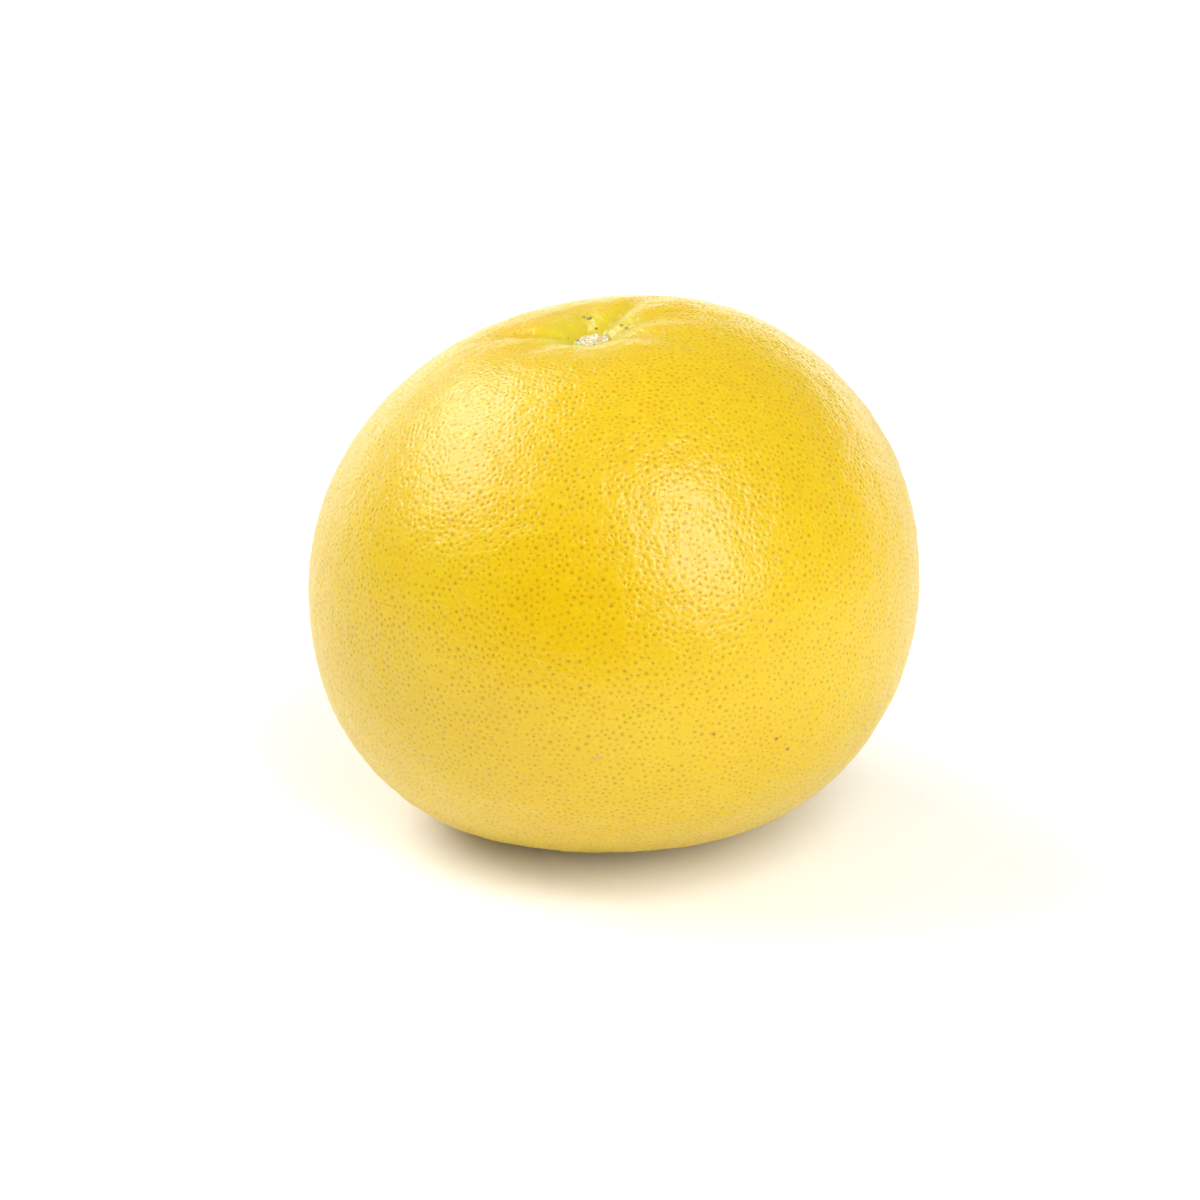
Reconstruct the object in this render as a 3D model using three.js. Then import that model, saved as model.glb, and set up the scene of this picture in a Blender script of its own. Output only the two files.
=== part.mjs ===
import * as THREE from "three";
import { mergeVertices } from "three/addons/utils/BufferGeometryUtils.js";

// A whole grapefruit as picked. It is one solid: a lopsided, slightly flattened ball with a shallow
// basin at the stem end. Furrows run out of the basin, and a corky scar lies in it where the stalk
// broke off. The fruit leans a little and rests on a small flat spot.
//
// Frame: +Z up, origin at the middle of the flat spot, stem end up. Millimetres.

const degrees = THREE.MathUtils.degToRad;

// Body
const EQUATOR_RADIUS = 55;
const STEM_HALF_HEIGHT = 48.5; // centre to stem end, before the basin is let in
const BLOSSOM_HALF_HEIGHT = 46.7; // centre to blossom end
const STEM_FULLNESS = 2.05; // 2 is an ellipse, and more has squarer shoulders
const BLOSSOM_FULLNESS = 2.29;
const EQUATOR_BLEND = 27.5; // height over which one half passes into the other

// Stance
const LEAN_LEFT = degrees(5.4); // stem end towards -X
const LEAN_FRONT = degrees(2.3); // stem end towards -Y
const REST_DEPTH = 47; // centre down to the resting plane

// Stem end. Spreads and reaches are angles from the stem axis, seen from the fruit's centre.
const BASIN = { depth: 3.2, spread: 0.27 };
const FUNNEL = { depth: 2.2, spread: 0.12 };
const SCAR = { radius: 0.066, rise: 0.45, edge: 0.014 };
const FURROW_REACH = 0.22; // where a furrow is deepest
const FURROWS = [
  { azimuth: 12, depth: 0.55, spread: 15 },
  { azimuth: 58, depth: 0.9, spread: 13 },
  { azimuth: 103, depth: 0.5, spread: 17 },
  { azimuth: 172, depth: 1.0, spread: 12 },
  { azimuth: 214, depth: 0.45, spread: 16 },
  { azimuth: 268, depth: 0.35, spread: 20 },
  { azimuth: 327, depth: 0.6, spread: 14 },
];

// Slow swellings and hollows of the whole fruit, by compass azimuth from +X and elevation.
const SWELLINGS = [
  { azimuth: 34, elevation: 56, spread: 26, rise: 0.84 },
  { azimuth: 166, elevation: 32, spread: 34, rise: -0.85 },
  { azimuth: 193, elevation: -30, spread: 34, rise: 1.88 },
  { azimuth: 210, elevation: -52, spread: 16, rise: 1.06 },
  { azimuth: -30, elevation: -52, spread: 24, rise: 1.77 },
  { azimuth: 7, elevation: 19, spread: 34, rise: -0.48 },
  { azimuth: 180, elevation: 0, spread: 30, rise: -0.34 },
  { azimuth: 78, elevation: -12, spread: 30, rise: 0.9 },
  { azimuth: 122, elevation: 38, spread: 24, rise: -0.6 },
  { azimuth: 30, elevation: -77, spread: 14, rise: 0.7 },
];

// Tessellation
const AROUND = 96;
const RINGS = 56;
const RING_CROWDING = 1.35; // over 1 packs the rings closer towards the stem end

const gaussian = (distance, spread) => Math.exp(-((distance / spread) ** 2));

// Unit vector from a compass azimuth and an elevation in degrees.
function compass(azimuth, elevation) {
  const polar = degrees(90 - elevation);
  return new THREE.Vector3(
    Math.sin(polar) * Math.cos(degrees(azimuth)),
    Math.sin(polar) * Math.sin(degrees(azimuth)),
    Math.cos(polar),
  );
}

// Turn that takes the stem axis from straight up to where it leans.
function leaning() {
  const sideways = new THREE.Matrix4().makeRotationY(-LEAN_LEFT);
  return sideways.multiply(new THREE.Matrix4().makeRotationX(LEAN_FRONT));
}

// Plain body's radius along a unit vector in the stem's frame, as a superellipse turned about the stem.
function bodyRadius(direction) {
  const upper = 0.5 + 0.5 * Math.tanh((direction.z * EQUATOR_RADIUS) / EQUATOR_BLEND);
  const halfHeight = THREE.MathUtils.lerp(BLOSSOM_HALF_HEIGHT, STEM_HALF_HEIGHT, upper);
  const fullness = THREE.MathUtils.lerp(BLOSSOM_FULLNESS, STEM_FULLNESS, upper);
  const across = Math.hypot(direction.x, direction.y) / EQUATOR_RADIUS;
  const along = Math.abs(direction.z) / halfHeight;
  return (across ** fullness + along ** fullness) ** (-1 / fullness);
}

// How far the surface lies below the plain body at the stem end: basin, funnel, furrows and scar.
function stemEndDrop(direction) {
  const polar = Math.acos(THREE.MathUtils.clamp(direction.z, -1, 1));
  const around = THREE.MathUtils.radToDeg(Math.atan2(direction.y, direction.x));
  const reach = (polar / FURROW_REACH) ** 2;
  const envelope = reach * Math.exp(1 - reach);
  let drop = BASIN.depth * gaussian(polar, BASIN.spread);
  drop += FUNNEL.depth * gaussian(polar, FUNNEL.spread);
  for (const { azimuth, depth, spread } of FURROWS) {
    const away = THREE.MathUtils.euclideanModulo(around - azimuth + 180, 360) - 180;
    drop += depth * envelope * gaussian(away, spread);
  }
  const onScar = 0.5 - 0.5 * Math.tanh((polar - SCAR.radius) / SCAR.edge);
  return drop - SCAR.rise * onScar;
}

// Height of the slow swellings along a unit vector.
function swelling(direction) {
  return SWELLINGS.reduce((total, { azimuth, elevation, spread, rise }) => {
    const away = direction.angleTo(compass(azimuth, elevation));
    return total + rise * gaussian(away, degrees(spread));
  }, 0);
}

// Closed skin of the fruit, standing on its flat spot.
function fruitGeometry() {
  const ball = new THREE.SphereGeometry(1, AROUND, RINGS).rotateX(Math.PI / 2);
  ball.deleteAttribute("normal").deleteAttribute("uv");
  const skin = mergeVertices(ball);
  const places = skin.getAttribute("position");
  const lean = leaning();
  const stemward = new THREE.Vector3();
  for (let i = 0; i < places.count; i++) {
    stemward.fromBufferAttribute(places, i).normalize();
    const polar = Math.acos(THREE.MathUtils.clamp(stemward.z, -1, 1));
    const crowded = Math.PI * (polar / Math.PI) ** RING_CROWDING;
    const azimuth = Math.atan2(stemward.y, stemward.x);
    stemward.setFromSphericalCoords(1, crowded, azimuth);
    stemward.set(stemward.z, stemward.x, stemward.y); // three.js counts the polar angle from +Y
    const standing = stemward.clone().applyMatrix4(lean);
    const radius = bodyRadius(stemward) - stemEndDrop(stemward) + swelling(standing);
    standing.multiplyScalar(radius);
    places.setXYZ(i, standing.x, standing.y, Math.max(standing.z, -REST_DEPTH) + REST_DEPTH);
  }
  skin.computeVertexNormals();
  return skin;
}

const peel = new THREE.MeshStandardMaterial({ color: 0xf4c430, roughness: 0.42, metalness: 0 });

const grapefruit = new THREE.Mesh(fruitGeometry(), peel);
grapefruit.name = "grapefruit";

const part = new THREE.Group();
part.add(grapefruit);

export default part;
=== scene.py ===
"""Looks for a whole grapefruit: pitted, waxy peel round a furrowed stem end with a corky stalk scar."""

import logging
import math
import random
from dataclasses import dataclass
from enum import Enum

import bmesh
import bpy
from mathutils import Matrix, Vector, noise


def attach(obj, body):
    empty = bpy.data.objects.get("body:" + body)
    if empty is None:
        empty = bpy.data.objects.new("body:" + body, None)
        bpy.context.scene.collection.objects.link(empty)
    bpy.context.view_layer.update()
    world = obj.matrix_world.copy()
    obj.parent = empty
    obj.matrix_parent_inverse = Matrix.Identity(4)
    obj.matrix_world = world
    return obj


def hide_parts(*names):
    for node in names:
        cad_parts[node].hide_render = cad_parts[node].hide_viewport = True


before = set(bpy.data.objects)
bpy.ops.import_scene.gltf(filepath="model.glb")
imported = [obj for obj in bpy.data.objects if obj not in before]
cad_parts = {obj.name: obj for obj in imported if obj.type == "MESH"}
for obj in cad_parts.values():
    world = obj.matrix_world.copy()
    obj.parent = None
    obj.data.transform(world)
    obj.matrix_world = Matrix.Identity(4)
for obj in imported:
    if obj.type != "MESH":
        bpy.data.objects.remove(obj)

log = logging.getLogger("grapefruit")

NODE = "grapefruit"  # the solid that the peel stands for
METRES = 0.001  # from the millimetres that the form is written in

Socket = bpy.types.NodeSocket
Colour = tuple[float, float, float, float]


def linear(hex_colour: str) -> Colour:
    """Turns an sRGB hex colour to the linear colour that a shader takes.

    Args:
        hex_colour: Six hex digits after a hash sign.

    Returns:
        Linear red, green and blue, with an alpha of 1.
    """
    channels = [int(hex_colour[i : i + 2], 16) / 255 for i in (1, 3, 5)]
    bright = [c / 12.92 if c <= 0.04045 else ((c + 0.055) / 1.055) ** 2.4 for c in channels]
    return (*bright, 1.0)


def gaussian(distance: float, spread: float) -> float:
    """Bell curve that is 1 at no distance and falls away over spread."""
    return math.exp(-((distance / spread) ** 2))


def smooth_step(low: float, high: float, value: float) -> float:
    """Rises smoothly from 0 at low to 1 at high, and falls if low is the larger."""
    part = min(max((value - low) / (high - low), 0.0), 1.0)
    return part * part * (3 - 2 * part)


def compass(azimuth: float, elevation: float) -> Vector:
    """Unit vector from an azimuth counted from +X and an elevation, both in degrees."""
    across, around = math.cos(math.radians(elevation)), math.radians(azimuth)
    return Vector((across * math.cos(around), across * math.sin(around), math.sin(math.radians(elevation))))


@dataclass(frozen=True)
class Wave:
    """An uneven wave through the peel: the size of its features in millimetres, and how far it rises."""

    size: float
    rise: float

    def at(self, place: Vector) -> float:
        """The wave's height at a place, on both sides of 0."""
        return self.rise * noise.noise(place / self.size)


@dataclass(frozen=True)
class Swelling:
    """A slow rise or hollow of the whole fruit. Degrees, and millimetres for the rise."""

    azimuth: float
    elevation: float
    spread: float
    rise: float


@dataclass(frozen=True)
class Furrow:
    """A furrow that runs out of the stem-end basin. Degrees, and millimetres for the depth."""

    azimuth: float
    depth: float
    spread: float


@dataclass(frozen=True)
class FruitForm:
    """The fruit's form without pores, as the solid has it. Millimetres, and radians from the centre."""

    equator_radius: float = 55.0
    stem_half_height: float = 48.5
    blossom_half_height: float = 46.7
    stem_fullness: float = 2.05
    blossom_fullness: float = 2.29
    equator_blend: float = 27.5
    lean_left: float = math.radians(5.4)
    lean_front: float = math.radians(2.3)
    rest_depth: float = 47.0
    basin_depth: float = 3.2
    basin_spread: float = 0.27
    funnel_depth: float = 2.2
    funnel_spread: float = 0.12
    scar_radius: float = 0.066
    scar_rise: float = 0.45
    scar_edge: float = 0.014
    furrow_reach: float = 0.22
    furrows: tuple[Furrow, ...] = (
        Furrow(12, 0.55, 15),
        Furrow(58, 0.9, 13),
        Furrow(103, 0.5, 17),
        Furrow(172, 1.0, 12),
        Furrow(214, 0.45, 16),
        Furrow(268, 0.35, 20),
        Furrow(327, 0.6, 14),
    )
    swellings: tuple[Swelling, ...] = (
        Swelling(34, 56, 26, 0.84),
        Swelling(166, 32, 34, -0.85),
        Swelling(193, -30, 34, 1.88),
        Swelling(210, -52, 16, 1.06),
        Swelling(-30, -52, 24, 1.77),
        Swelling(7, 19, 34, -0.48),
        Swelling(180, 0, 30, -0.34),
        Swelling(78, -12, 30, 0.9),
        Swelling(122, 38, 24, -0.6),
        Swelling(30, -77, 14, 0.7),
    )

    @property
    def lean(self) -> Matrix:
        """Turn that takes the stem axis from straight up to where it leans."""
        return Matrix.Rotation(-self.lean_left, 3, "Y") @ Matrix.Rotation(self.lean_front, 3, "X")

    def body_radius(self, stemward: Vector) -> float:
        """Plain body's radius, as a superellipse turned about the stem.

        Args:
            stemward: Unit vector in the stem's frame.

        Returns:
            Distance from the centre to the surface.
        """
        upper = 0.5 + 0.5 * math.tanh(stemward.z * self.equator_radius / self.equator_blend)
        half_height = self.blossom_half_height + (self.stem_half_height - self.blossom_half_height) * upper
        fullness = self.blossom_fullness + (self.stem_fullness - self.blossom_fullness) * upper
        across = math.hypot(stemward.x, stemward.y) / self.equator_radius
        along = abs(stemward.z) / half_height
        return (across**fullness + along**fullness) ** (-1 / fullness)

    def stem_end_drop(self, stemward: Vector) -> float:
        """How far the surface lies below the plain body at the stem end.

        Args:
            stemward: Unit vector in the stem's frame.

        Returns:
            Depth of the basin, funnel and furrows there, less the rise of the scar.
        """
        polar = math.acos(min(max(stemward.z, -1.0), 1.0))
        around = math.degrees(math.atan2(stemward.y, stemward.x))
        reach = (polar / self.furrow_reach) ** 2
        drop = self.basin_depth * gaussian(polar, self.basin_spread)
        drop += self.funnel_depth * gaussian(polar, self.funnel_spread)
        for furrow in self.furrows:
            away = (around - furrow.azimuth + 180) % 360 - 180
            drop += furrow.depth * reach * math.exp(1 - reach) * gaussian(away, furrow.spread)
        return drop - self.scar_rise * (0.5 - 0.5 * math.tanh((polar - self.scar_radius) / self.scar_edge))

    def swelling(self, standing: Vector) -> float:
        """Height of the slow swellings along a unit vector of the standing fruit."""
        return sum(
            s.rise * gaussian(standing.angle(compass(s.azimuth, s.elevation)), math.radians(s.spread))
            for s in self.swellings
        )


@dataclass(frozen=True)
class Fleck:
    """A dry dark speck by the scar: its azimuth round the stem, and its reach and size in millimetres."""

    azimuth: float
    reach: float
    size: float
    strength: float = 1.0


class Blemish(Enum):
    """What kind of mark a patch of peel has. The value is the attribute that holds it."""

    STAIN = "stain"  # a pore that dried out brown
    RUB = "rub"  # a pinkish-tan place where the peel was rubbed


NOTES = ("pore", "cork", "fleck", "unripe", *(kind.value for kind in Blemish))  # kept on each corner
MARK_END = 3  # sizes from its middle at which a mark has faded out


@dataclass(frozen=True)
class Mark:
    """A mark on the peel: azimuth and elevation in degrees from the centre, and its size in millimetres."""

    kind: Blemish
    azimuth: float
    elevation: float
    size: float
    strength: float = 1.0


@dataclass
class Peel:
    """The whole peel as one closed skin, with every oil pore a dimple in it. Millimetres.

    The pores are set out by the golden angle, shaken and evened out. Operators span the skin over them and
    give each pore a cell of its own, with the pore at its middle, where it can be sunk.
    """

    form: FruitForm
    pores: int = 29_000
    shake: float = 0.45  # of the distance between two pores
    evening_rounds: int = 5
    deepest_pore: float = 0.1
    shallowest_pore: float = 0.04
    large_pores: float = 0.7  # share of the pores, the rest being small ones between them
    large_sizes: tuple[float, float] = (0.75, 1.0)  # of the largest pore
    small_sizes: tuple[float, float] = (0.45, 0.75)
    stem_pores: float = 0.45  # share of their size that pores keep at the stem end
    stem_pores_reach: tuple[float, float] = (0.1, 0.4)  # radians over which they grow to full size
    seed: int = 11
    skin_room: float = 0.26  # keeps every bump inside the solid's box
    cork_reach: float = 0.13  # radians round the stem where the skin is cut finest
    collar_reach: float = 0.24  # and where it is cut once
    lumps: tuple[Wave, ...] = (Wave(5.0, 0.14), Wave(2.0, 0.1), Wave(1.2, 0.06))
    puckers: tuple[Wave, ...] = (Wave(2.2, 0.1), Wave(0.8, 0.06))
    puckers_reach: tuple[float, float] = (0.5, 0.12)  # radians from the stem where they start and are full
    crumbs: tuple[Wave, ...] = (Wave(0.9, 0.28), Wave(0.4, 0.14))  # of the cork
    rags: tuple[Wave, ...] = (Wave(1.1, 0.012), Wave(0.45, 0.006))  # radians by which the cork's edge strays
    cork_fade: tuple[float, float] = (0.008, -0.006)  # radians past the scar where it starts and is full
    groove_depth: float = 0.3  # of the groove round the scar
    groove_width: float = 0.012  # radians
    unripe_reach: tuple[float, float] = (0.34, 0.08)  # radians from the stem where green starts and is full
    unripe_edge: Wave = Wave(4.0, 0.05)  # radians by which the green strays
    flecks: tuple[Fleck, ...] = ()
    marks: tuple[Mark, ...] = ()

    def pore_places(self, chance: random.Random) -> list[Vector]:
        """Sets the pores out on a unit sphere.

        Args:
            chance: Seeded source of the shaking.

        Returns:
            One unit vector for each pore, in the stem's frame.
        """
        golden = math.pi * (3 - math.sqrt(5))
        pitch = self.shake * math.sqrt(4 * math.pi / self.pores)
        places = []
        for i in range(self.pores):
            height = 1 - (2 * i + 1) / self.pores
            across = math.sqrt(1 - height * height)
            place = Vector((across * math.cos(golden * i), across * math.sin(golden * i), height))
            place += Vector([chance.uniform(-pitch, pitch) for _ in range(3)])
            places.append(place.normalized())
        return places

    def span(self, skin: bmesh.types.BMesh) -> None:
        """Spans a skin of well-shaped triangles over the corners, in place of any faces they had."""
        bmesh.ops.delete(skin, geom=skin.edges[:], context="EDGES_FACES")
        bmesh.ops.convex_hull(skin, input=skin.verts)
        bmesh.ops.beautify_fill(skin, faces=skin.faces, edges=skin.edges, method="ANGLE")

    def even_out(self, skin: bmesh.types.BMesh) -> None:
        """Moves each pore towards the middle of its neighbours and spans the skin again."""
        for _ in range(self.evening_rounds):
            bmesh.ops.smooth_vert(
                skin, verts=skin.verts, factor=0.5, use_axis_x=True, use_axis_y=True, use_axis_z=True
            )
            for corner in skin.verts:
                corner.co.normalize()
            self.span(skin)

    def part_cells(self, skin: bmesh.types.BMesh) -> None:
        """Gives each pore a cell: a fan of triangles whose rim runs half-way to the pores round it."""
        bmesh.ops.poke(skin, faces=skin.faces)
        skin.verts.index_update()
        between = [e for e in skin.edges if all(c.index < self.pores for c in e.verts)]
        bmesh.ops.rotate_edges(skin, edges=between)

    def cut_finer(self, skin: bmesh.types.BMesh, reach: float) -> None:
        """Cuts each edge in two that lies within reach of the stem, in radians."""
        lowest = math.cos(reach)
        near = [e for e in skin.edges if all(c.co.normalized().z >= lowest for c in e.verts)]
        bmesh.ops.subdivide_edges(skin, edges=near, cuts=1, use_grid_fill=True)

    def pore_size(self, chance: random.Random) -> float:
        """Draws one pore's size, from 0 to 1: mostly large pores, with small ones between them."""
        if chance.random() < self.large_pores:
            return chance.uniform(*self.large_sizes)
        return chance.uniform(*self.small_sizes)

    def cork(self, stemward: Vector, place: Vector) -> float:
        """How corky the surface is, from 0 on peel to 1 on the scar, with a ragged edge."""
        polar = stemward.angle(Vector((0, 0, 1)))
        start, full = (self.form.scar_radius + past for past in self.cork_fade)
        return smooth_step(start, full, polar + sum(rag.at(place) for rag in self.rags))

    def bumps(self, place: Vector, cork: float, polar: float) -> float:
        """Height of the peel's fine relief, without its pores.

        Args:
            place: Where on the fruit, from its centre.
            cork: How corky the surface is there.
            polar: Angle from the stem axis.

        Returns:
            Height in millimetres, on both sides of 0.
        """
        lumps = sum(wave.at(place) for wave in self.lumps)
        puckers = sum(wave.at(place) for wave in self.puckers) * smooth_step(*self.puckers_reach, polar)
        crumbs = sum(wave.at(place) for wave in self.crumbs)
        from_groove = polar - self.form.scar_radius - self.groove_width
        groove = -self.groove_depth * gaussian(from_groove, self.groove_width)
        return (lumps + puckers + groove) * (1 - cork) + crumbs * cork

    def build(self) -> bpy.types.Object:
        """Makes the skin, sinks its pores and notes on each corner what the peel is like there.

        Returns:
            The peel as a new object at the origin.
        """
        chance = random.Random(self.seed)
        skin = bmesh.new()
        notes = {name: skin.verts.layers.float.new(name) for name in NOTES}
        for place in self.pore_places(chance):
            skin.verts.new(place)
        self.span(skin)
        self.even_out(skin)
        sizes = [self.pore_size(chance) for _ in skin.verts]
        self.part_cells(skin)
        self.cut_finer(skin, self.collar_reach)
        self.cut_finer(skin, self.cork_reach)
        bmesh.ops.triangulate(skin, faces=[f for f in skin.faces if len(f.verts) > 3])
        self.shape(skin, notes, sizes)
        bmesh.ops.delete(skin, geom=[c for c in skin.verts if not c.link_edges], context="VERTS")
        bmesh.ops.recalc_face_normals(skin, faces=skin.faces)
        self.unwrap(skin)
        return self.object_of(skin)

    def shape(self, skin: bmesh.types.BMesh, notes: dict, sizes: list[float]) -> None:
        """Moves the corners from the unit sphere to the peel, and notes what the peel is like there.

        Args:
            skin: The skin on the unit sphere, in the stem's frame.
            notes: The layer for each of NOTES.
            sizes: Sizes of the pores, whose middles are the skin's first corners.
        """
        lean, lift = self.form.lean, Vector((0, 0, self.form.rest_depth))
        fleck_places = [(f, self.stem_place(f)) for f in self.flecks]
        mark_axes = [(m, compass(m.azimuth, m.elevation)) for m in self.marks]
        for number, corner in enumerate(skin.verts):
            stemward = corner.co.normalized()
            standing = lean @ stemward
            polar = stemward.angle(Vector((0, 0, 1)))
            radius = self.form.body_radius(stemward) - self.form.stem_end_drop(stemward)
            radius += self.form.swelling(standing)
            place = standing * radius
            cork = self.cork(stemward, place)
            size = sizes[number] if number < len(sizes) else 0.0
            grown = smooth_step(*self.stem_pores_reach, polar)
            pore = size * (1 - cork) * (self.stem_pores + (1 - self.stem_pores) * grown)
            depth = 0.0
            if pore:
                depth = self.shallowest_pore + (self.deepest_pore - self.shallowest_pore) * pore
            sunk = self.skin_room - self.bumps(place, cork, polar) + depth
            place.z = max(place.z, -self.form.rest_depth)
            corner.co = (place - standing * max(sunk, 0.0) + lift) * METRES
            corner[notes["pore"]] = pore
            corner[notes["cork"]] = cork
            corner[notes["unripe"]] = smooth_step(*self.unripe_reach, polar + self.unripe_edge.at(place))
            dark = (f.strength * gaussian((place - where).length, f.size) for f, where in fleck_places)
            corner[notes["fleck"]] = max(dark, default=0)
            for mark, axis in mark_axes:
                away = standing.angle(axis) * radius
                if away < MARK_END * mark.size:
                    layer = notes[mark.kind.value]
                    corner[layer] = max(corner[layer], mark.strength * gaussian(away, mark.size))

    def stem_place(self, fleck: Fleck) -> Vector:
        """Where on the fruit a fleck lies, from the fruit's centre."""
        depth = self.form.stem_half_height - self.form.basin_depth
        polar = math.atan2(fleck.reach, depth)
        stemward = compass(fleck.azimuth, 90 - math.degrees(polar))
        radius = self.form.body_radius(stemward) - self.form.stem_end_drop(stemward)
        standing = self.form.lean @ stemward
        return standing * (radius + self.form.swelling(standing))

    def unwrap(self, skin: bmesh.types.BMesh) -> None:
        """Lays the skin out flat as the six sides of a cube, each with an even spread over its tile."""
        layer = skin.loops.layers.uv.new("OFBake")
        middle = Vector((0, 0, self.form.rest_depth * METRES))
        for face in skin.faces:
            side = CubeSide.facing(face.calc_center_median() - middle)
            for loop in face.loops:
                loop[layer].uv = side.spot(loop.vert.co - middle)

    def object_of(self, skin: bmesh.types.BMesh) -> bpy.types.Object:
        """Turns the skin into a smooth-shaded object in the scene."""
        mesh = bpy.data.meshes.new("peel")
        skin.to_mesh(mesh)
        skin.free()
        mesh.shade_smooth()
        peel = bpy.data.objects.new("peel", mesh)
        bpy.context.collection.objects.link(peel)
        return peel


class CubeSide(Enum):
    """A side of the cube that the peel is laid out on: its outward axis, its sign and its tile."""

    RIGHT = (0, 1, 0, 0)
    LEFT = (0, -1, 1, 0)
    BACK = (1, 1, 2, 0)
    FRONT = (1, -1, 0, 1)
    TOP = (2, 1, 1, 1)
    UNDER = (2, -1, 2, 1)

    @classmethod
    def facing(cls, way: Vector) -> "CubeSide":
        """The side that a direction from the middle passes through."""
        axis = max(range(3), key=lambda i: abs(way[i]))
        sign = 1 if way[axis] > 0 else -1
        return next(side for side in cls if side.value[:2] == (axis, sign))

    def spot(self, way: Vector) -> tuple[float, float]:
        """Where on the map a direction from the middle lands.

        Args:
            way: Direction from the fruit's middle.

        Returns:
            Place on the map, with three tiles across and two up.
        """
        axis, sign, column, row = self.value
        tile = 0.97  # share of a tile that is used, so that neighbours don't bleed into each other
        across, up = way[(axis + 1) % 3], way[(axis + 2) % 3]
        flat = [math.atan2(v, abs(way[axis])) / (math.pi / 4) * tile for v in (across * sign, up)]
        return (column + 0.5 + flat[0] / 2) / 3, (row + 0.5 + flat[1] / 2) / 2


def add_node(tree: bpy.types.NodeTree, kind: str, inputs: dict | None = None, **settings) -> bpy.types.Node:
    """Adds a node with its settings and links.

    Args:
        tree: Tree that the node goes into.
        kind: Node type, without "ShaderNode" before it.
        inputs: For each input, by name or number, its value or the output it is linked to.
        **settings: Properties of the node.

    Returns:
        The new node.
    """
    node = tree.nodes.new("ShaderNode" + kind)
    for name, value in settings.items():
        setattr(node, name, value)
    for name, value in (inputs or {}).items():
        if isinstance(value, bpy.types.NodeSocket):
            tree.links.new(value, node.inputs[name])
        else:
            node.inputs[name].default_value = value
    return node


@dataclass(frozen=True)
class Grain:
    """An uneven pattern through the peel: the size of its features in millimetres, and its finer detail."""

    size: float
    detail: float = 2.0

    def height(self, tree: bpy.types.NodeTree, place: Socket) -> Socket:
        """Adds the pattern, which runs from 0 to 1 about 0.5, and returns its output."""
        inputs = {"Vector": place, "Scale": 1 / (self.size * METRES), "Detail": self.detail}
        return add_node(tree, "TexNoise", inputs).outputs["Fac"]


@dataclass(frozen=True)
class Pits:
    """Small round pits scattered through the peel: their mean distance and their width in millimetres."""

    pitch: float
    width: float

    def height(self, tree: bpy.types.NodeTree, place: Socket) -> Socket:
        """Adds the pattern, which is 1 in the middle of a pit and 0 outside it, and returns its output."""
        cells = add_node(tree, "TexVoronoi", {"Vector": place, "Scale": 1 / (self.pitch * METRES)})
        edge = self.width / 2 / self.pitch
        limits = {"Value": cells.outputs["Distance"], "From Min": edge, "From Max": 0.0}
        return add_node(tree, "MapRange", limits, interpolation_type="SMOOTHSTEP").outputs["Result"]


@dataclass(frozen=True)
class Tint:
    """A colour laid over those before it, from where its cause is low to where it is high.

    The cause is a note on the peel's corners, a grain, or the two multiplied, so that the grain breaks up
    what is noted.
    """

    colour: str
    low: float
    high: float
    strength: float
    note: str = ""
    grain: Grain | Pits | None = None

    def lay(self, tree: bpy.types.NodeTree, place: Socket, under: Socket | Colour) -> Socket:
        """Lays the tint over what is under it.

        Args:
            tree: The material's nodes.
            place: Object coordinates.
            under: The colour so far.

        Returns:
            Output that carries the new colour.
        """
        causes = [self.grain.height(tree, place)] if self.grain else []
        if self.note:
            causes.append(add_node(tree, "Attribute", attribute_name=self.note).outputs["Fac"])
        cause = causes.pop()
        if causes:
            cause = add_node(tree, "Math", {0: cause, 1: causes.pop()}, operation="MULTIPLY").outputs[0]
        limits = {"Value": cause, "From Min": self.low, "From Max": self.high, "To Max": self.strength}
        share = add_node(tree, "MapRange", limits, interpolation_type="SMOOTHSTEP").outputs["Result"]
        layers = {0: share, 6: under, 7: linear(self.colour)}
        return add_node(tree, "Mix", layers, data_type="RGBA").outputs[2]


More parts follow.
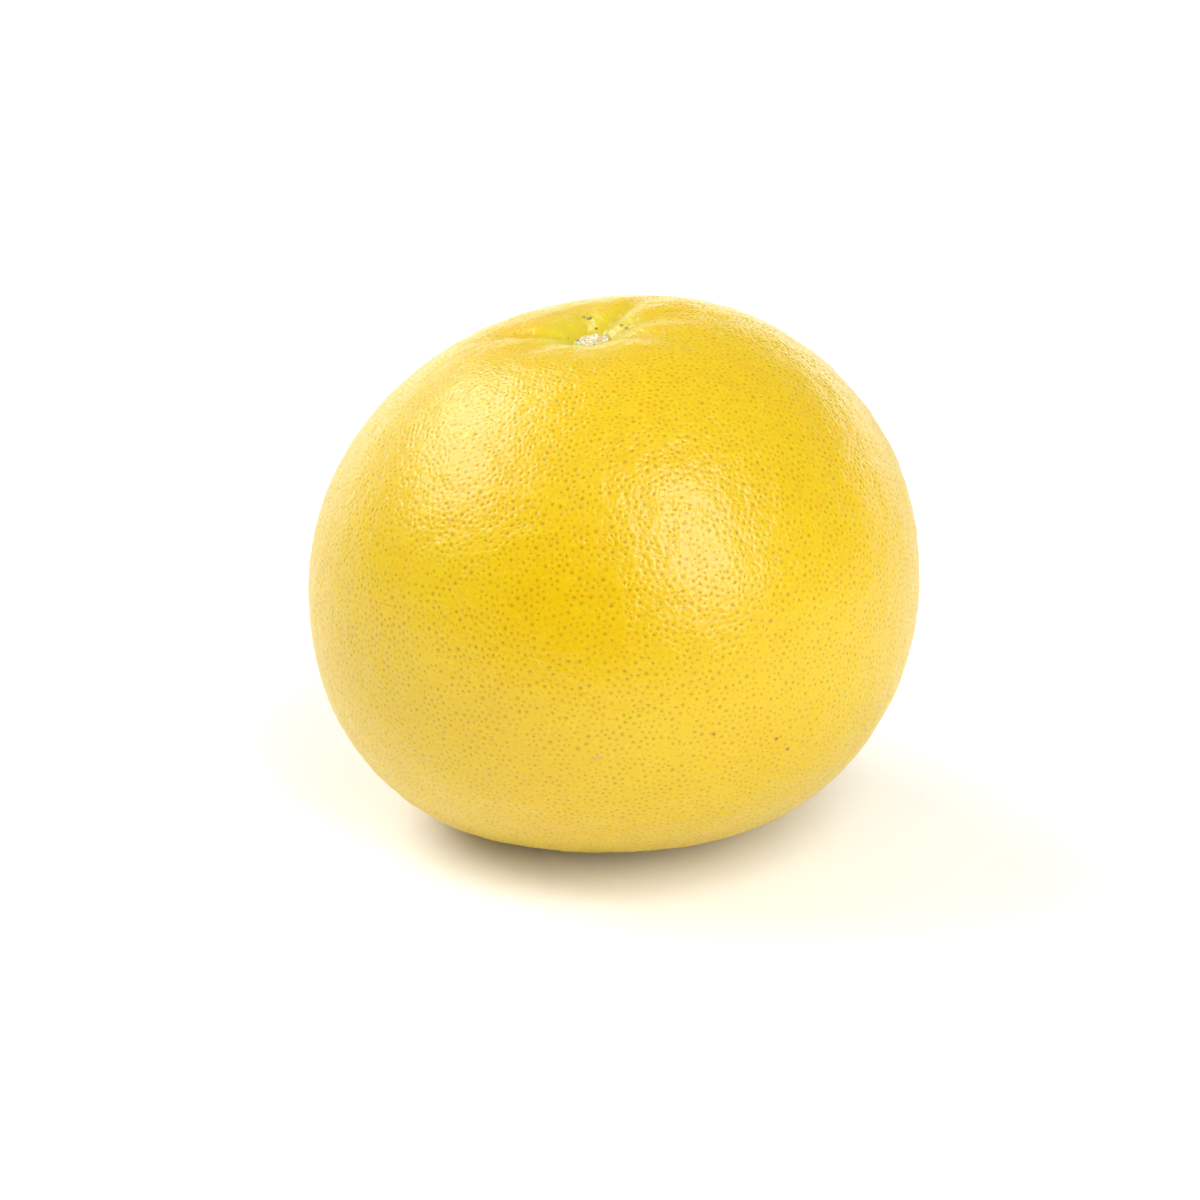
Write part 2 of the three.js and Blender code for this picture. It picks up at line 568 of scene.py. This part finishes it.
@dataclass(frozen=True)
class WaxyPeel:
    """Ripe citrus peel, washed and waxed: a satin wax film over yellow cells, with olive oil glands in them.

    The film gives broad highlights, and the pits and wrinkles break them into short bright streaks. Under it
    the yellow hardly varies, each gland shows as a soft dot, and the stem end has kept a little green.
    """

    ripe: str = "#D0AF03"
    tints: tuple[Tint, ...] = (
        Tint("#D0B206", 0.35, 0.65, 1.0, grain=Grain(24.0)),  # slow drift from one side to the other
        Tint("#D8BA10", 0.45, 0.7, 0.4, grain=Grain(0.8)),  # paler peel between the glands
        Tint("#C4B82D", 0.1, 0.9, 0.62, note="unripe"),
        Tint("#A38A00", 0.3, 1.0, 0.95, note="pore"),
        Tint("#A38A00", 0.0, 1.0, 0.6, grain=Pits(1.2, 0.55)),  # small glands that have no pore of their own
        Tint("#B0A074", 0.2, 0.6, 1.0, note="cork"),
        # Part real pale cork, part painted highlight: the lit tops of the crumbs are painted paler.
        Tint("#DDD2B6", 0.46, 0.58, 1.0, note="cork", grain=Grain(0.5)),  # pale crumbs in the cork, partly a painted highlight
        Tint("#C98F5F", 0.1, 0.9, 0.9, note=Blemish.RUB.value),
        Tint("#7E4A14", 0.2, 0.8, 1.0, note=Blemish.STAIN.value),
        Tint("#4A3B1C", 0.2, 0.42, 0.85, note="fleck", grain=Grain(0.35)),
    )
    ior: float = 1.5
    wax_roughness: float = 0.31
    cork_roughness: float = 0.85
    scatter_reach: tuple[float, float, float] = (1.0, 0.5, 0.1)  # of red, green and blue in the peel
    scatter_scale: float = 0.015  # metres that a reach of 1 stands for
    dimple: float = 0.06  # millimetres by which the wall of a pore is rounded off towards its bottom
    wrinkles: tuple[tuple[Grain | Pits, float], ...] = (  # patterns, and their rise in millimetres
        (Grain(0.9, 0.0), 0.09),
        (Grain(0.45, 0.5), 0.06),
        (Pits(1.2, 0.55), -0.02),
    )

    def colour(self, tree: bpy.types.NodeTree, place: Socket) -> Socket:
        """Lays every tint over the ripe yellow and returns the result's output."""
        colour: Socket | Colour = linear(self.ripe)
        for tint in self.tints:
            colour = tint.lay(tree, place, colour)
        return colour

    def relief(self, tree: bpy.types.NodeTree, place: Socket) -> Socket:
        """Adds the relief that is too fine for the mesh.

        Args:
            tree: The material's nodes.
            place: Object coordinates.

        Returns:
            Output that carries the bumped normal.
        """
        pore = add_node(tree, "Attribute", attribute_name="pore").outputs["Fac"]
        limits = {"Value": pore, "From Max": 1.0, "To Max": -self.dimple}
        height = add_node(tree, "MapRange", limits, interpolation_type="SMOOTHSTEP").outputs["Result"]
        for grain, rise in self.wrinkles:
            terms = {0: grain.height(tree, place), 1: rise, 2: height}
            height = add_node(tree, "Math", terms, operation="MULTIPLY_ADD").outputs[0]
        bump = add_node(tree, "Bump", {"Height": height, "Strength": 1.0, "Distance": METRES})
        return bump.outputs["Normal"]

    def material(self) -> bpy.types.Material:
        """Builds the material for the peel."""
        material = bpy.data.materials.new("waxed citrus peel")
        material.use_nodes = True
        tree = material.node_tree
        tree.nodes.clear()
        place = add_node(tree, "TexCoord").outputs["Object"]
        cork = add_node(tree, "Attribute", attribute_name="cork").outputs["Fac"]
        limits = {"Value": cork, "To Min": self.wax_roughness, "To Max": self.cork_roughness}
        looks = {
            "Base Color": self.colour(tree, place),
            "Roughness": add_node(tree, "MapRange", limits).outputs["Result"],
            "IOR": self.ior,
            "Subsurface Weight": 1.0,
            "Subsurface Radius": self.scatter_reach,
            "Subsurface Scale": self.scatter_scale,
            "Normal": self.relief(tree, place),
        }
        shader = add_node(tree, "BsdfPrincipled", looks)
        add_node(tree, "OutputMaterial", {"Surface": shader.outputs["BSDF"]})
        return material


@dataclass(frozen=True)
class Softbox:
    """A soft light: where it stands as seen from the fruit, its sides in metres and its power in watts."""

    name: str
    azimuth: float
    elevation: float
    distance: float
    width: float
    height: float
    power: float
    mirrored: bool = True  # whether gloss shows it

    def place(self, target: Vector) -> None:
        """Stands the light up and turns it to the target."""
        light = bpy.data.lights.new(self.name, "AREA")
        light.shape = "RECTANGLE"
        light.size, light.size_y = self.width, self.height
        light.energy = self.power
        holder = bpy.data.objects.new(self.name, light)
        way = compass(self.azimuth, self.elevation)
        holder.location = target + way * self.distance
        holder.visible_glossy = self.mirrored
        holder.rotation_euler = (-way).to_track_quat("-Z", "Y").to_euler()
        bpy.context.collection.objects.link(holder)


def dull(name: str, colour: str) -> bpy.types.Material:
    """Builds a wholly matt material of one colour, for paper and card.

    Args:
        name: Name for the material.
        colour: Colour in sRGB hex.

    Returns:
        The new material.
    """
    material = bpy.data.materials.new(name)
    material.use_nodes = True
    shader = material.node_tree.nodes["Principled BSDF"]
    shader.inputs["Base Color"].default_value = linear(colour)
    shader.inputs["Roughness"].default_value = 1.0
    shader.inputs["Specular IOR Level"].default_value = 0.0
    return material


@dataclass(frozen=True)
class Flag:
    """A dull card on the floor in front of the fruit, seen only where gloss mirrors it. Sizes in metres."""

    name: str
    gap: float
    width: float
    depth: float
    colour: str
    lift: float = 0.0005  # keeps it clear of the floor

    def place(self) -> None:
        """Lays the card on the floor, its near edge at the gap from the origin."""
        board = bmesh.new()
        bmesh.ops.create_grid(board, x_segments=1, y_segments=1, size=1.0)
        bmesh.ops.scale(board, vec=(self.width / 2, self.depth / 2, 1), verts=board.verts)
        bmesh.ops.translate(board, vec=(0, -self.gap - self.depth / 2, self.lift), verts=board.verts)
        mesh = bpy.data.meshes.new(self.name)
        board.to_mesh(mesh)
        board.free()
        card = bpy.data.objects.new(self.name, mesh)
        bpy.context.collection.objects.link(card)
        mesh.materials.append(dull("dull " + self.name, self.colour))
        card.visible_camera = card.visible_diffuse = card.visible_shadow = False


@dataclass
class Studio:
    """The pale floor, the soft light and the camera."""

    target: Vector
    camera_distance: float = 0.5105
    camera_elevation: float = 21.0
    lens: float = 85.0
    shift: tuple[float, float] = (-0.0129, -0.0257)
    clip: tuple[float, float] = (0.01, 20.0)
    floor_side: float = 6.0
    floor_colour: str = "#FAFAFA"
    front_glow: float = 0.03
    side_glow: float = 0.32
    back_glow: float = 2.7  # of a low strip at the back
    strip_edge: tuple[float, float] = (0.3, 0.08)  # share of up where the strip starts and is full
    back_edge: tuple[float, float] = (0.3, 0.7)  # share of back where the strip takes over from the walls
    front_edge: tuple[float, float] = (-0.8, -0.2)  # and where the walls take over from the dim front
    flags: tuple[Flag, ...] = (Flag("black card", 0.2, 0.9, 1.0, "#101010"),)
    softboxes: tuple[Softbox, ...] = (
        Softbox("left softbox", 158, 46, 1.8, 2.1, 0.8, 31.5),
        Softbox("front softbox", -55, 37, 1.8, 0.68, 2.1, 36.0),
        Softbox("front fill", -90, 45, 1.8, 1.6, 1.6, 7.5, mirrored=False),
    )

    def floor(self) -> None:
        """Lays a plain pale floor under the fruit."""
        board = bmesh.new()
        bmesh.ops.create_grid(board, x_segments=1, y_segments=1, size=self.floor_side / 2)
        mesh = bpy.data.meshes.new("floor")
        board.to_mesh(mesh)
        board.free()
        floor = bpy.data.objects.new("floor", mesh)
        bpy.context.collection.objects.link(floor)
        mesh.materials.append(dull("matt white paper", self.floor_colour))

    def surroundings(self) -> None:
        """Lights the fruit from a low bright strip behind it and pale walls, with a dim room in front."""
        world = bpy.data.worlds.new("white studio")
        world.use_nodes = True
        tree = world.node_tree
        tree.nodes.clear()
        way = add_node(tree, "TexCoord").outputs["Generated"]
        parts = add_node(tree, "SeparateXYZ", {0: way}).outputs
        glow: Socket | float = self.back_glow
        edges = (
            ("Z", self.strip_edge, self.side_glow),
            ("Y", self.back_edge, self.side_glow),
            ("Y", self.front_edge, self.front_glow),
        )
        for axis, (start, full), before in edges:
            limits = {"Value": parts[axis], "From Min": start, "From Max": full}
            limits |= {"To Min": before, "To Max": glow}
            glow = add_node(tree, "MapRange", limits, interpolation_type="SMOOTHSTEP").outputs["Result"]
        sky = add_node(tree, "Background", {"Color": (1.0, 1.0, 1.0, 1.0), "Strength": glow})
        add_node(tree, "OutputWorld", {"Surface": sky.outputs["Background"]})
        bpy.context.scene.world = world

    def camera(self) -> None:
        """Sets the camera up in front of the fruit, looking down on it."""
        camera = bpy.data.cameras.new("camera")
        camera.lens = self.lens
        camera.shift_x, camera.shift_y = self.shift
        camera.clip_start, camera.clip_end = self.clip
        stand = bpy.data.objects.new("camera", camera)
        stand.location = self.target + compass(-90, self.camera_elevation) * self.camera_distance
        stand.rotation_euler = (math.radians(90 - self.camera_elevation), 0, 0)
        bpy.context.collection.objects.link(stand)
        bpy.context.scene.camera = stand

    def build(self) -> None:
        """Sets up the whole studio."""
        self.floor()
        for flag in self.flags:
            flag.place()
        self.surroundings()
        self.camera()
        for softbox in self.softboxes:
            softbox.place(self.target)
        bpy.context.scene.view_settings.view_transform = "Standard"


FLECKS = (
    Fleck(93, 7.9, 0.75),
    Fleck(99, 8.8, 0.5),
    Fleck(89, 6.7, 0.35, 0.8),
    Fleck(80, 4.6, 0.45),
    Fleck(54, 7.4, 0.3, 0.8),
    Fleck(30, 6.2, 0.5),
    Fleck(17, 6.5, 0.45),
    Fleck(8, 6.9, 0.3),
    Fleck(-9, 8.3, 0.35, 0.8),
    Fleck(158, 2.9, 0.45),
    Fleck(160, 4.6, 0.35, 0.8),
    Fleck(-134, 2.6, 0.5),
    Fleck(-78, 2.9, 0.45),
    Fleck(-12, 3.1, 0.35, 0.8),
    Fleck(-69, 7.8, 0.3, 0.7),
    Fleck(-120, 7.9, 0.35, 0.6),
)

MARKS = (
    Mark(Blemish.STAIN, -72.8, -9.7, 0.5),
    Mark(Blemish.STAIN, -60.0, -13.0, 0.42),
    Mark(Blemish.STAIN, -56.9, -16.2, 0.42),
    Mark(Blemish.STAIN, -67.0, -9.8, 0.35, 0.5),
    Mark(Blemish.STAIN, -64.1, -14.0, 0.35, 0.4),
    Mark(Blemish.STAIN, -66.5, 34.9, 0.35, 0.5),
    Mark(Blemish.STAIN, -137.8, 11.4, 0.35, 0.7),
    Mark(Blemish.RUB, -93.1, -13.5, 0.6, 0.9),
    Mark(Blemish.RUB, -124.6, 26.4, 0.7, 0.7),
    Mark(Blemish.RUB, -92.6, 6.7, 0.45, 0.5),
    Mark(Blemish.RUB, -150.0, 86.2, 1.1, 0.9),
)


def main() -> None:
    """Builds the peel and the studio."""
    logging.basicConfig(level=logging.INFO, format="%(message)s")
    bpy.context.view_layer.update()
    form = FruitForm()
    peel = Peel(form, flecks=FLECKS, marks=MARKS)
    skin = peel.build()
    skin.data.materials.append(WaxyPeel().material())
    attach(skin, "root")
    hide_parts(NODE)
    log.info("peel: %d corners, %d faces", len(skin.data.vertices), len(skin.data.polygons))
    Studio(target=Vector((0, 0, form.rest_depth * METRES))).build()


if __name__ == "__main__":
    main()
